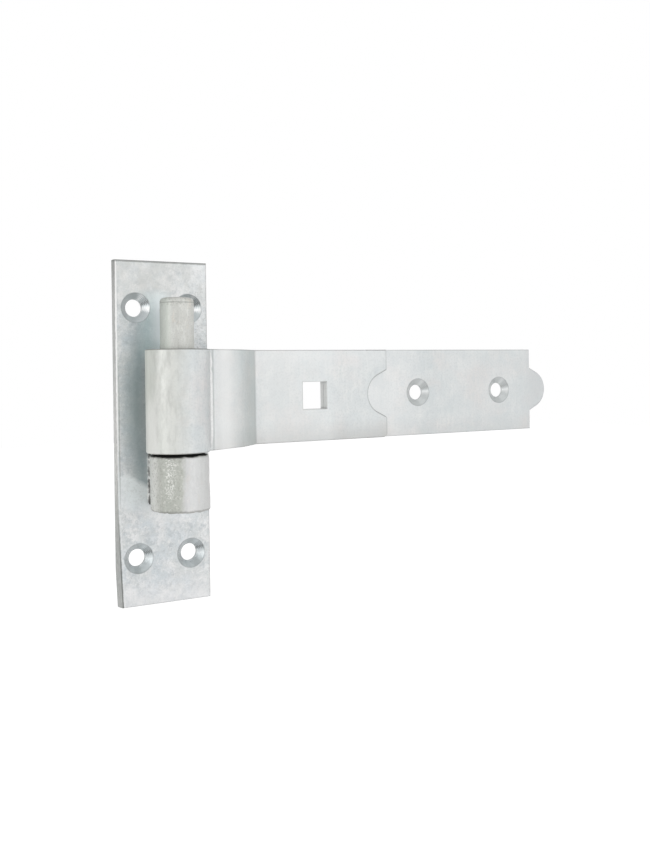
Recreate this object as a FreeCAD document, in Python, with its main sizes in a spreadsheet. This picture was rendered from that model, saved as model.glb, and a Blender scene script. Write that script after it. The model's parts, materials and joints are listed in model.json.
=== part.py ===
"""Hook and band hinge: a hook on a screw plate, and a cranked band folded from one strip.

Millimetres. X runs along the strap, Z up the pin, and -Y out of the post's face.
The origin is the centre of the plate's back face, where the plate meets the post.
"""
import FreeCAD, Part
import math
import os
import Sketcher

SIZES = {
    # Fixing plate
    "plate_width": 39.0,
    "plate_height": 138.0,
    "plate_thickness": 4.0,
    "plate_edge": 0.5,
    "shear_width": 1.65,
    "shear_back_width": 0.65,
    "shear_height": 40.0,
    "screw_spacing_across": 22.2,
    "screw_spacing_up": 100.0,
    "screw_hole": 7.0,
    "screw_sink": 12.0,
    "screw_sink_angle": 90.0,
    # Hook: round pin on a thicker boss, with a neck back to the plate
    "pin_diameter": 13.2,
    "pin_standoff": 16.0,
    "pin_above_eye": 20.0,
    "pin_chamfer": 1.8,
    "pin_root_fillet": 2.0,
    "boss_diameter": 23.4,
    "boss_height": 21.0,
    "boss_edge": 0.6,
    "neck_width": 10.0,
    "neck_inset": 2.0,
    "weld_leg": 1.8,
    # Strip that the band is folded from
    "strip_width": 40.0,
    "strip_thickness": 2.7,
    "strip_edge": 0.35,
    "leaf_gap": 0.2,
    "bend_inside_radius": 0.8,
    # Eye and crank
    "eye_height": 13.0,
    "pin_clearance": 0.3,
    "seat_clearance": 0.15,
    "eye_closing_gap": 0.4,
    "crank_ahead": 6.5,
    "crank_angle": 27.0,
    "crank_run": 15.3,
    "crank_steep_angle": 43.5,
    "crank_bend_radius": 15.0,
    # Strap: distances from the pin's axis
    "bolt_distance": 69.5,
    "bolt_square": 12.0,
    "front_leaf_reach": 107.6,
    "front_leaf_corner": 2.0,
    "strap_hole_distance": 127.0,
    "strap_hole_spacing": 49.2,
    "strap_hole": 7.0,
    "strap_sink": 12.8,
    "strap_sink_angle": 110.0,
    "shoulder_reach": 196.2,
    "tongue_radius": 9.3,
    "tongue_reach": 10.3,
    "tongue_flare": 26.0,
    "socket_corner": 2.0,
}

# Distance under which two places count as the same
TOUCH = 1e-4

doc = FreeCAD.newDocument("hook_and_band")


def make_sheet():
    """Driving dimensions, one aliased cell each."""
    cells = doc.addObject("Spreadsheet::Sheet", "sizes")
    for row, (alias, value) in enumerate(SIZES.items(), start=1):
        cells.set(f"A{row}", alias)
        cells.set(f"B{row}", str(value))
        cells.setAlias(f"B{row}", alias)
    doc.recompute()
    return cells


sheet = make_sheet()


def size(alias):
    """Number in the sheet's cell of that name."""
    return float(sheet.get(alias))


def bind(target, path, formula):
    """Tie a property to the sheet: every alias in the formula is read from its cell."""
    words = formula.replace("(", "( ").replace(")", " )").split()
    linked = [f"sizes.{word}" if word in SIZES else word for word in words]
    target.setExpression(path, " ".join(linked))


# Formulas that more than one piece uses
PIN_AXIS_Y = "0 - plate_thickness - pin_standoff"
EYE_GAP = ("pin_root_fillet - sqrt(pin_root_fillet ^ 2 - (pin_root_fillet - pin_clearance) ^ 2)"
           " + seat_clearance")
BOSS_TOP = f"0 - strip_width / 2 - ({EYE_GAP})"
BOSS_BOTTOM = f"{BOSS_TOP} - boss_height"
NECK_HEIGHT = "boss_height - 2 * neck_inset"
STRAP_BACK = "plate_thickness + pin_standoff"
BACK_LEAF_FRONT = f"{STRAP_BACK} - strip_thickness"
STRAP_FRONT = f"{STRAP_BACK} - 2 * strip_thickness - leaf_gap"


def new_body(label, formula_y="0", formula_z="0"):
    """Body whose own origin is placed by the sheet."""
    body = doc.addObject("PartDesign::Body", label)
    body.Label = label
    bind(body, "Placement.Base.y", formula_y)
    bind(body, "Placement.Base.z", formula_z)
    return body


def add_feature(body, kind, name, **formulas):
    """Feature whose sizes are formulas; the names x, y and z place it in its body."""
    feature = body.newObject(f"PartDesign::{kind}", name)
    for key, formula in formulas.items():
        path = f"Placement.Base.{key}" if key in "xyz" else key
        bind(feature, path, formula)
    return feature


def add_sketch(body, role, name, offset="0"):
    """Sketch on one of the body's own planes, moved along its normal by a formula."""
    plane = next(item for item in body.Origin.OriginFeatures if item.Role == role)
    sketch = body.newObject("Sketcher::SketchObject", name)
    sketch.AttachmentSupport = [(plane, "")]
    sketch.MapMode = "FlatFace"
    bind(sketch, "AttachmentOffset.Base.z", offset)
    return sketch


def limit(sketch, kind, name, formula, *places):
    """Named dimension of a sketch, tied to the sheet."""
    sketch.addConstraint(Sketcher.Constraint(kind, *places, 1.0))
    index = sketch.ConstraintCount - 1
    sketch.renameConstraint(index, name)
    bind(sketch, f"Constraints.{name}", formula)


def add_circle(sketch, name, diameter, across, up="0", side=1, level=1):
    """Circle whose centre lies at formulas from the sketch's origin, on the given sides of it."""
    start = FreeCAD.Vector(side * 10.0, level * 10.0, 0)
    circle = sketch.addGeometry(Part.Circle(start, FreeCAD.Vector(0, 0, 1), 3.0))
    limit(sketch, "Diameter", f"{name}_diameter", diameter, circle)
    for kind, word, formula, sign in (("DistanceX", "across", across, side), ("DistanceY", "up", up, level)):
        ends = (-1, 1, circle, 3) if sign > 0 else (circle, 3, -1, 1)
        limit(sketch, kind, f"{name}_{word}", formula, *ends)


def add_screw_holes(body, sketch, name, diameter, sink, angle):
    """Countersunk holes through the body at the sketch's circles."""
    doc.recompute()
    hole = body.newObject("PartDesign::Hole", name)
    hole.Profile = sketch
    hole.DepthType = "ThroughAll"
    hole.HoleCutType = "Countersink"
    hole.HoleCutCustomValues = True
    bind(hole, "Diameter", diameter)
    bind(hole, "HoleCutDiameter", sink)
    bind(hole, "HoleCutCountersinkAngle", angle)
    return hole


def cut_pocket(body, sketch, name, depth):
    """Pocket from the sketch towards the back, to a depth from the sheet."""
    doc.recompute()
    pocket = body.newObject("PartDesign::Pocket", name)
    pocket.Profile = sketch
    bind(pocket, "Length", depth)
    return pocket


def edges_where(body, test):
    """Names of the body's edges whose middle point passes the test."""
    doc.recompute()
    names = []
    for number, edge in enumerate(body.Shape.Edges, start=1):
        middle = edge.valueAt((edge.FirstParameter + edge.LastParameter) / 2)
        if test(edge, body.Placement.inverse().multVec(middle)):
            names.append(f"Edge{number}")
    return names


def dress_edges(body, kind, name, length, test):
    """Fillet or chamfer, of a length from the sheet, on the edges that pass the test."""
    names = edges_where(body, test)
    base = body.Tip
    dressing = body.newObject(f"PartDesign::{kind}", name)
    dressing.Base = (base, names)
    bind(dressing, "Radius" if kind == "Fillet" else "Size", length)
    doc.recompute()
    return dressing


def build_plate():
    body = new_body("hook_plate")
    add_feature(body, "AdditiveBox", "plate_blank", Length="plate_width", Width="plate_thickness",
                Height="plate_height", x="0 - plate_width / 2", y="0 - plate_thickness",
                z="0 - plate_height / 2")

    # The lower left side was sheared off at a slant, deeper at the front than at the back
    shear = add_feature(
        body, "SubtractiveWedge", "sheared_side",
        Xmin="0 - 2 * shear_width", Xmax="0",
        X2min="0 - 2 * shear_width", X2max="shear_back_width - shear_width",
        Ymin="0 - plate_thickness", Ymax="0",
        Zmin="0 - 2 * shear_height", Zmax="0",
        Z2min="0 - 2 * shear_height", Z2max="0",
        x="0 - plate_width / 2", z="shear_height - plate_height / 2")
    shear.Placement.Rotation.Axis = FreeCAD.Vector(0, 1, 0)
    bind(shear, "Placement.Rotation.Angle", "atan(0 - shear_width / shear_height)")
    front = 0 - size("plate_thickness")

    def is_front_rim(edge, middle):
        return abs(middle.y - front) < TOUCH

    dress_edges(body, "Fillet", "plate_rim", "plate_edge", is_front_rim)
    centres = add_sketch(body, "XZ_Plane", "screw_centres", "plate_thickness")
    for side, side_name in ((-1, "left"), (1, "right")):
        for level, level_name in ((-1, "lower"), (1, "upper")):
            add_circle(centres, f"{level_name}_{side_name}", "screw_hole", "screw_spacing_across / 2",
                       "screw_spacing_up / 2", side, level)
    add_screw_holes(body, centres, "screw_holes", "screw_hole", "screw_sink", "screw_sink_angle")
    return body


def build_hook():
    body = new_body("hook_pin", PIN_AXIS_Y, "eye_height")
    add_feature(body, "AdditiveCylinder", "boss", Radius="boss_diameter / 2", Height="boss_height",
                z=BOSS_BOTTOM)
    add_feature(body, "AdditiveCylinder", "pin", Radius="pin_diameter / 2",
                Height=f"strip_width + ({EYE_GAP}) + pin_above_eye", z=BOSS_TOP)
    boss_radius = size("boss_diameter") / 2
    pin_radius = size("pin_diameter") / 2

    def is_ring(edge, radius):
        return edge.Curve.TypeId == "Part::GeomCircle" and abs(edge.Curve.Radius - radius) < TOUCH

    def is_pin_root(edge, middle):
        return is_ring(edge, pin_radius) and middle.z < 0

    def is_pin_top(edge, middle):
        return is_ring(edge, pin_radius) and middle.z > 0

    def is_boss_rim(edge, middle):
        return is_ring(edge, boss_radius)

    dress_edges(body, "Fillet", "pin_root", "pin_root_fillet", is_pin_root)
    dress_edges(body, "Chamfer", "pin_top", "pin_chamfer", is_pin_top)
    dress_edges(body, "Chamfer", "boss_rims", "boss_edge", is_boss_rim)
    add_feature(body, "AdditiveBox", "neck", Length="neck_width", Width="pin_standoff", Height=NECK_HEIGHT,
                x="0 - neck_width / 2", z=f"{BOSS_BOTTOM} + neck_inset")
    return body


def build_weld():
    """Fillet weld all round the neck, in the corner between it and the plate."""
    body = new_body("boss_weld", PIN_AXIS_Y, "eye_height")
    add_feature(
        body, "AdditiveWedge", "bead",
        Xmin="0 - neck_width / 2", Xmax="neck_width / 2",
        Zmin=f"{BOSS_BOTTOM} + neck_inset", Zmax=f"{BOSS_TOP} - neck_inset",
        X2min="0 - neck_width / 2 - weld_leg", X2max="neck_width / 2 + weld_leg",
        Z2min=f"{BOSS_BOTTOM} + neck_inset - weld_leg", Z2max=f"{BOSS_TOP} - neck_inset + weld_leg",
        Ymin="pin_standoff - weld_leg", Ymax="pin_standoff")
    doc.recompute()
    add_feature(body, "SubtractiveBox", "neck_seat", Length="neck_width", Width="pin_standoff",
                Height=NECK_HEIGHT, x="0 - neck_width / 2", z=f"{BOSS_BOTTOM} + neck_inset")
    return body


class Bends:
    """Line between the two leaves of the folded strip, walked from the eye's closed end to the strap.

    Seen from above with the pin's axis at (0, 0). Each run or bend can be drawn at an offset to the left
    of the walk, where the back leaf lies, or to the right, where the front leaf lies.
    """

    def __init__(self, point, heading):
        self.point = point
        self.heading = heading
        self.steps = []

    def left(self, heading):
        return FreeCAD.Vector(-math.sin(heading), math.cos(heading), 0)

    def run(self, length):
        ahead = FreeCAD.Vector(math.cos(self.heading), math.sin(self.heading), 0)
        self.steps.append(("run", self.point, self.heading, length))
        self.point = self.point + ahead * length

    def turn(self, heading, radius):
        """Arc to a new heading; it bends to the left where the heading grows."""
        side = 1 if heading > self.heading else -1
        centre = self.point + self.left(self.heading) * (side * radius)
        self.steps.append(("turn", centre, self.heading, heading, side, radius))
        self.point = centre - self.left(heading) * (side * radius)
        self.heading = heading

    def outline(self, offset):
        """Curves of the walk at that offset to its left."""
        curves = []
        for step in self.steps:
            if step[0] == "run":
                _, start, heading, length = step
                first = start + self.left(heading) * offset
                ahead = FreeCAD.Vector(math.cos(heading), math.sin(heading), 0)
                curves.append(Part.LineSegment(first, first + ahead * length))
            else:
                _, centre, heading, last, side, radius = step
                places = []
                for angle in (heading, (heading + last) / 2, last):
                    places.append(centre - self.left(angle) * (side * radius - offset))
                curves.append(Part.Arc(*places))
        return curves


def fold_strip():
    """Closed outline of the folded strip from above: eye, crank and both leaves."""
    half_gap = size("leaf_gap") / 2
    half_bar = size("strip_thickness") + half_gap
    eye_radius = size("pin_diameter") / 2 + size("pin_clearance") + half_bar
    tight = size("bend_inside_radius") + half_bar
    crank = math.radians(size("crank_angle"))
    steep = math.radians(size("crank_steep_angle"))
    bend = size("crank_bend_radius")
    strap_middle = size("plate_thickness") + size("pin_standoff") - half_bar

    # The eye turns into the crank at this angle round the pin, on a tight bend the other way
    to_bend = eye_radius + tight
    leaving = crank - math.asin((size("crank_ahead") - tight) / to_bend)
    # The fold comes round to close on the outside of that bend
    reach = tight + 2 * half_bar + size("eye_closing_gap")
    nose = leaving - math.acos((to_bend ** 2 + eye_radius ** 2 - reach ** 2) / (2 * to_bend * eye_radius))

    outward = FreeCAD.Vector(math.cos(nose), math.sin(nose), 0)
    walk = Bends(outward * eye_radius, nose - math.pi / 2)
    fold_centre = walk.point
    walk.turn(leaving - math.pi / 2 - 2 * math.pi, eye_radius)
    walk.turn(crank - 2 * math.pi, tight)
    walk.run(size("crank_run"))
    walk.turn(steep - 2 * math.pi, bend)
    rise_left = strap_middle - walk.point.y - tight * (1 - math.cos(steep))
    walk.run(rise_left / math.sin(steep))
    walk.turn(-2 * math.pi, tight)
    strap_start = walk.point.x

    curves = []
    for side, leaf_end in ((-1, size("front_leaf_reach")), (1, size("shoulder_reach"))):
        corners = []
        for offset in (side * half_gap, side * half_bar):
            level = strap_middle + offset
            corners.append(FreeCAD.Vector(leaf_end, level, 0))
            curves.extend(walk.outline(offset))
            curves.append(Part.LineSegment(FreeCAD.Vector(strap_start, level, 0), corners[-1]))
        curves.append(Part.LineSegment(*corners))

    # The fold itself, outside and inside
    forward = FreeCAD.Vector(-math.sin(nose), math.cos(nose), 0)
    for radius in (half_gap, half_bar):
        sides = (fold_centre - outward * radius, fold_centre + outward * radius)
        curves.append(Part.Arc(sides[0], fold_centre + forward * radius, sides[1]))
    return curves


def nose_outline(root, side):
    """Closed outline of the strip's cut end: a round nose on a flared root, pointing to the given side.

    The same cut leaves a tongue on one end of a strip and a socket on the next.
    """
    radius = size("tongue_radius")
    flare = math.radians(size("tongue_flare"))
    centre = root + side * (size("tongue_reach") - radius)
    touching = centre + side * radius * math.sin(flare)
    half_nose = radius * math.cos(flare)
    half_root = half_nose + abs(touching - root) * math.tan(flare)
    behind = root - side * radius
    half = [(touching, half_nose), (root, half_root), (behind, half_root)]
    places = half + [(across, -up) for across, up in reversed(half)]
    corners = [FreeCAD.Vector(across, up, 0) for across, up in places]
    curves = [Part.LineSegment(first, second) for first, second in zip(corners, corners[1:])]
    tip = FreeCAD.Vector(centre + side * radius, 0, 0)
    curves.append(Part.Arc(corners[-1], tip, corners[0]))
    return curves


def build_band():
    body = new_body("band", PIN_AXIS_Y, "eye_height")
    profile = add_sketch(body, "XY_Plane", "folded_strip")
    profile.addGeometry(fold_strip())
    doc.recompute()
    strip = add_feature(body, "Pad", "strip", Length="strip_width")
    strip.Profile = profile
    strip.SideType = "Symmetric"
    doc.recompute()

    nose = add_sketch(body, "XZ_Plane", "tongue_outline", f"0 - ({BACK_LEAF_FRONT})")
    nose.addGeometry(nose_outline(size("shoulder_reach"), 1))
    tongue = add_feature(body, "Pad", "tongue", Length="strip_thickness")
    tongue.Profile = nose
    tongue.Reversed = True
    doc.recompute()

    bite = add_sketch(body, "XZ_Plane", "socket_outline", f"0 - ({STRAP_FRONT})")
    bite.addGeometry(nose_outline(size("front_leaf_reach"), -1))
    cut_pocket(body, bite, "socket", "strip_thickness + leaf_gap / 2")

    thickness = size("strip_thickness")
    strap_back = size("plate_thickness") + size("pin_standoff")
    back_leaf_front = strap_back - thickness
    strap_front = back_leaf_front - size("leaf_gap") - thickness
    half_width = size("strip_width") / 2
    leaf_end = size("front_leaf_reach")
    shoulder = size("shoulder_reach")

    def is_leaf_end(edge, middle):
        on_end = abs(middle.x - leaf_end) < TOUCH
        return on_end and strap_front + TOUCH < middle.y < strap_front + thickness - TOUCH

    def is_lower_leaf_corner(edge, middle):
        return is_leaf_end(edge, middle) and abs(middle.z + half_width) < TOUCH

    def is_lower_socket_corner(edge, middle):
        return is_leaf_end(edge, middle) and TOUCH - half_width < middle.z < 0

    dress_edges(body, "Fillet", "leaf_corner", "front_leaf_corner", is_lower_leaf_corner)
    dress_edges(body, "Fillet", "socket_lower_corner", "socket_corner", is_lower_socket_corner)

    def is_outer_rim(edge, middle):
        on_front = abs(middle.y - strap_front) < TOUCH
        on_back = abs(middle.y - strap_back) < TOUCH
        at_side = abs(abs(middle.z) - half_width) < TOUCH and middle.x > size("bolt_distance")
        at_leaf_end = on_front and middle.x > leaf_end - size("tongue_reach") - TOUCH
        round_tongue = abs(middle.y - back_leaf_front) < TOUCH and middle.x > shoulder + TOUCH
        return at_leaf_end or round_tongue or (at_side and (on_front or on_back))

    dress_edges(body, "Chamfer", "strip_rims", "strip_edge", is_outer_rim)

    add_feature(body, "SubtractiveBox", "bolt_hole", Length="bolt_square", Height="bolt_square",
                Width="2 * strip_thickness + leaf_gap", x="bolt_distance - bolt_square / 2",
                y=STRAP_FRONT, z="0 - bolt_square / 2")

    centres = add_sketch(body, "XZ_Plane", "strap_centres", f"0 - ({BACK_LEAF_FRONT})")
    add_circle(centres, "near", "strap_hole", "strap_hole_distance")
    add_circle(centres, "far", "strap_hole", "strap_hole_distance + strap_hole_spacing")
    add_screw_holes(body, centres, "strap_holes", "strap_hole", "strap_sink", "strap_sink_angle")
    return body


def check_and_write(bodies):
    doc.recompute()
    for item in doc.Objects:
        if {"Invalid", "Error"} & set(item.State):
            raise RuntimeError(f"{item.Label} failed to build: {item.State}")
    for body in bodies:
        if body.Shape.isNull() or not body.Shape.isValid():
            raise RuntimeError(f"{body.Label} has no valid shape")
    os.makedirs("parts", exist_ok=True)
    for body in bodies:
        body.Shape.exportStep(f"parts/{body.Label}.step")
        box = body.Shape.BoundBox
        print(f"{body.Label}: {len(body.Shape.Solids)} solid, {body.Shape.Volume:.1f} mm3,"
              f" X {box.XMin:.2f} to {box.XMax:.2f}, Y {box.YMin:.2f} to {box.YMax:.2f},"
              f" Z {box.ZMin:.2f} to {box.ZMax:.2f}")


check_and_write([build_plate(), build_hook(), build_weld(), build_band()])
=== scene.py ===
"""Looks of the hook and band hinge: galvanised steel in soft studio light, on white."""
import json
import math

import bmesh
import bpy
from mathutils import Matrix, Vector, noise


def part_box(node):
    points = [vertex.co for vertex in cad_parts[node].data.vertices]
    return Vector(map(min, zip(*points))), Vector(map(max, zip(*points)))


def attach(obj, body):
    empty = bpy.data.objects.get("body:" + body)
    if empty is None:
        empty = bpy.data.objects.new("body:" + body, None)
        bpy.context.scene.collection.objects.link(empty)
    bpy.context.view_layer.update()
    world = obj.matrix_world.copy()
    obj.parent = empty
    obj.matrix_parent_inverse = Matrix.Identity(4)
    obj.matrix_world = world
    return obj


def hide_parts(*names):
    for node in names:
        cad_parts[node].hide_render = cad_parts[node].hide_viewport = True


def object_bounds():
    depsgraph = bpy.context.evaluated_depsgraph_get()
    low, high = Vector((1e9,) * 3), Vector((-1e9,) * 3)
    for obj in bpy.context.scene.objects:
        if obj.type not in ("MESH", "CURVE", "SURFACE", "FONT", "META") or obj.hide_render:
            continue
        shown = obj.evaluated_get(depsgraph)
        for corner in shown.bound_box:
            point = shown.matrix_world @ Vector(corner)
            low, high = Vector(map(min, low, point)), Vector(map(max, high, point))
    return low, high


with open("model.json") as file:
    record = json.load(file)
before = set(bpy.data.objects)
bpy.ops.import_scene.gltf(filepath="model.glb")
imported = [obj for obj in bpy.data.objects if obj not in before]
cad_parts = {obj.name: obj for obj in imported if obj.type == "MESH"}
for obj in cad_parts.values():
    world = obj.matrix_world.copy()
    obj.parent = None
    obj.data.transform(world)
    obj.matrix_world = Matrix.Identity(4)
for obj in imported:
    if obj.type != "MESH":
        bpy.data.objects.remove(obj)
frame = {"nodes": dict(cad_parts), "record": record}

MM = 0.001
CAD_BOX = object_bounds()
RECORD = frame["record"]
MOUNTS = {mount["name"]: mount for mount in RECORD["mounts"]}
COLOURS = {entry["slot"]: entry["base_color"] for entry in RECORD["materials"]}


def box_mm(node):
    """Lowest and highest corner of a node, in millimetres."""
    return [Vector(corner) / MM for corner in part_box(node)]


# Places read from the frame, in millimetres
PIN_AXIS = Vector(RECORD["behaviour"]["joints"][0]["pos_m"]) / MM
PLATE_LOW, PLATE_HIGH = box_mm("hook_plate")
HOOK_LOW, HOOK_HIGH = box_mm("hook_pin")
WELD_LOW, WELD_HIGH = box_mm("boss_weld")
BAND_LOW, BAND_HIGH = box_mm("band")
BOSS_RADIUS = HOOK_HIGH.x
BOSS_TOP = WELD_LOW.z + WELD_HIGH.z - HOOK_LOW.z
EYE_RADIUS = PIN_AXIS.x - BAND_LOW.x
BOLT = Vector(MOUNTS["strap_bolt"]["pos_m"]) / MM

# Sizes of the object that the frame doesn't state, in millimetres
PLATE_SINK = 12.0
STRAP_SINK = 12.8
BOLT_SQUARE = 12.0
PIN_RADIUS = 6.6
PIN_CHAMFER = 1.8
PIN_ROUNDING = 1.6
BOSS_LEAN = 0.55
BOSS_SHRINK = 0.98
BOSS_SAG = 0.5
LEAF_END = 107.6
CREASE = 39.5
TONGUE_REACH = 10.3
TONGUE_RADIUS = 9.3
TONGUE_FLARE = math.radians(26.0)
SHEAR_WIDTH = 1.65
SHEAR_HEIGHT = 40.0
SEAM = Vector((12.2, -23.45, 0))
SEAM_RADIUS = 1.0

# Meshes: facets of the forging and steps along the weld in millimetres, and counts for the two beads
FORGED_FACET = 0.36
WELD_STEP = 0.45
WELD_SIDES = 20
SEAM_STEPS = 90
SEAM_SIDES = 16

# Ripples of the weld: height in millimetres, and length in steps
RIPPLE_HEIGHT = 0.14
RIPPLE_STEPS = 4.5

# Finish of all the zinc: share of metal, strength of the bumps, and their depth in millimetres
METAL_SHARE = 0.35
BUMP_STRENGTH = 0.4
BUMP_DEPTH = 0.25

# Rings in a countersink: pitch in millimetres, height in bump depths, and waver of its painted glints in
# radians
RING_PITCH = 0.55
RING_HEIGHT = 0.10
RING_WAVER = 0.10

# Painted glints in a countersink, painted highlights and painted dark reflections and shade: from and to, in
# radians up from the right, grey level and strength
PAINTED_GLINTS = ((-0.25, 0.12, 0.97, 0.85), (0.32, 0.60, 0.10, 0.70), (0.72, 0.85, 0.12, 0.60),
          (1.00, 1.20, 0.97, 0.80), (1.35, 2.40, 0.45, 0.25), (2.40, 3.30, 0.36, 0.40),
          (-3.30, -2.30, 0.36, 0.40))
GLINT_SOFT = 0.08

# Colours of the countersinks and of black painted shade in gaps and crevices
PLATE_SINK_COLOUR = (0.69, 0.75, 0.77)
STRAP_SINK_COLOUR = (0.62, 0.65, 0.65)
BLACK_GAP_SHADE = (0.05, 0.05, 0.045)

# Lamps: name, place and size in metres, and power in watts
LAMPS = (("front", (0.15, -1.0, 0.10), (0.9, 0.9), 0.88),
         ("low_left", (-0.45, -0.85, -0.10), (0.4, 0.2), 0.34),
         ("front_right", (0.55, -0.95, 0.10), (0.9, 0.9), 1.65),
         ("left", (-0.90, -0.25, 0.05), (0.4, 0.7), 1.75),
         ("right", (0.90, -0.28, 0.05), (0.5, 0.6), 0.55),
         ("top", (0.10, -0.50, 0.85), (0.7, 0.7), 0.70))
WORLD_LIGHT = 0.36
FLOOR_HALF = 3.0
FLOOR_DROP = 0.16
FLOOR_GREY = 0.8
FLOOR_GLOW = 0.8

# Camera fitted to the photograph: place in metres, angles in radians, lens and sensor in millimetres
CAMERA_PLACE = Vector((-0.138485, -0.373141, 0.024238))
CAMERA_TURN = 0.52579
CAMERA_ROLL = -0.01418
CAMERA_LENS = 39.897
CAMERA_SENSOR = 36.0
CAMERA_SHIFT = -0.07409
CAMERA_NEAR = 0.01


def hole_centres(mount):
    """Centres of a bolt pattern's holes, in millimetres."""
    middle = Vector(mount["pos_m"]) / MM
    half_x = mount["dims"]["spacing_x_mm"] / 2
    half_z = mount["dims"].get("spacing_y_mm", 0) / 2
    levels = (-half_z, half_z) if half_z else (0,)
    return [middle + Vector((x, 0, z)) for x in (-half_x, half_x) for z in levels]


class Nodes:
    """Short hand for building a node tree."""

    def __init__(self, owner):
        owner.use_nodes = True
        self.tree = owner.node_tree
        self.tree.nodes.clear()

    def add(self, kind, inputs=None, **settings):
        node = self.tree.nodes.new(kind)
        for key, value in settings.items():
            setattr(node, key, value)
        for key, value in (inputs or {}).items():
            self.feed(node.inputs[key], value)
        return node

    def feed(self, socket, value):
        if isinstance(value, bpy.types.NodeSocket):
            self.tree.links.new(value, socket)
        else:
            socket.default_value = value

    def math(self, operation, first, second=0.0):
        return self.add("ShaderNodeMath", {0: first, 1: second}, operation=operation).outputs[0]

    def plus(self, first, second):
        return self.math("ADD", first, second)

    def minus(self, first, second):
        return self.math("SUBTRACT", first, second)

    def times(self, first, second):
        return self.math("MULTIPLY", first, second)

    def away(self, value, middle):
        """Distance of a value from a middle, either way."""
        return self.math("ABSOLUTE", self.minus(value, middle))

    def span(self, value, low, high, out_low=0.0, out_high=1.0):
        """Value mapped from one range to another, held at its ends."""
        inputs = {0: value, 1: low, 2: high, 3: out_low, 4: out_high}
        return self.add("ShaderNodeMapRange", inputs, clamp=True).outputs[0]

    def fall(self, value, low, high):
        """1 up to the low value, falling to 0 at the high one."""
        return self.span(value, low, high, 1.0, 0.0)

    def blend(self, share, first, second):
        """Colour between two colours."""
        node = self.add("ShaderNodeMix", data_type="RGBA")
        for index, value in ((0, share), (6, first), (7, second)):
            self.feed(node.inputs[index], value)
        return node.outputs[2]

    def end(self, kind, shader):
        """Output node of the tree, fed by a shader."""
        self.tree.links.new(shader, self.add(kind).inputs[0])


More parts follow.
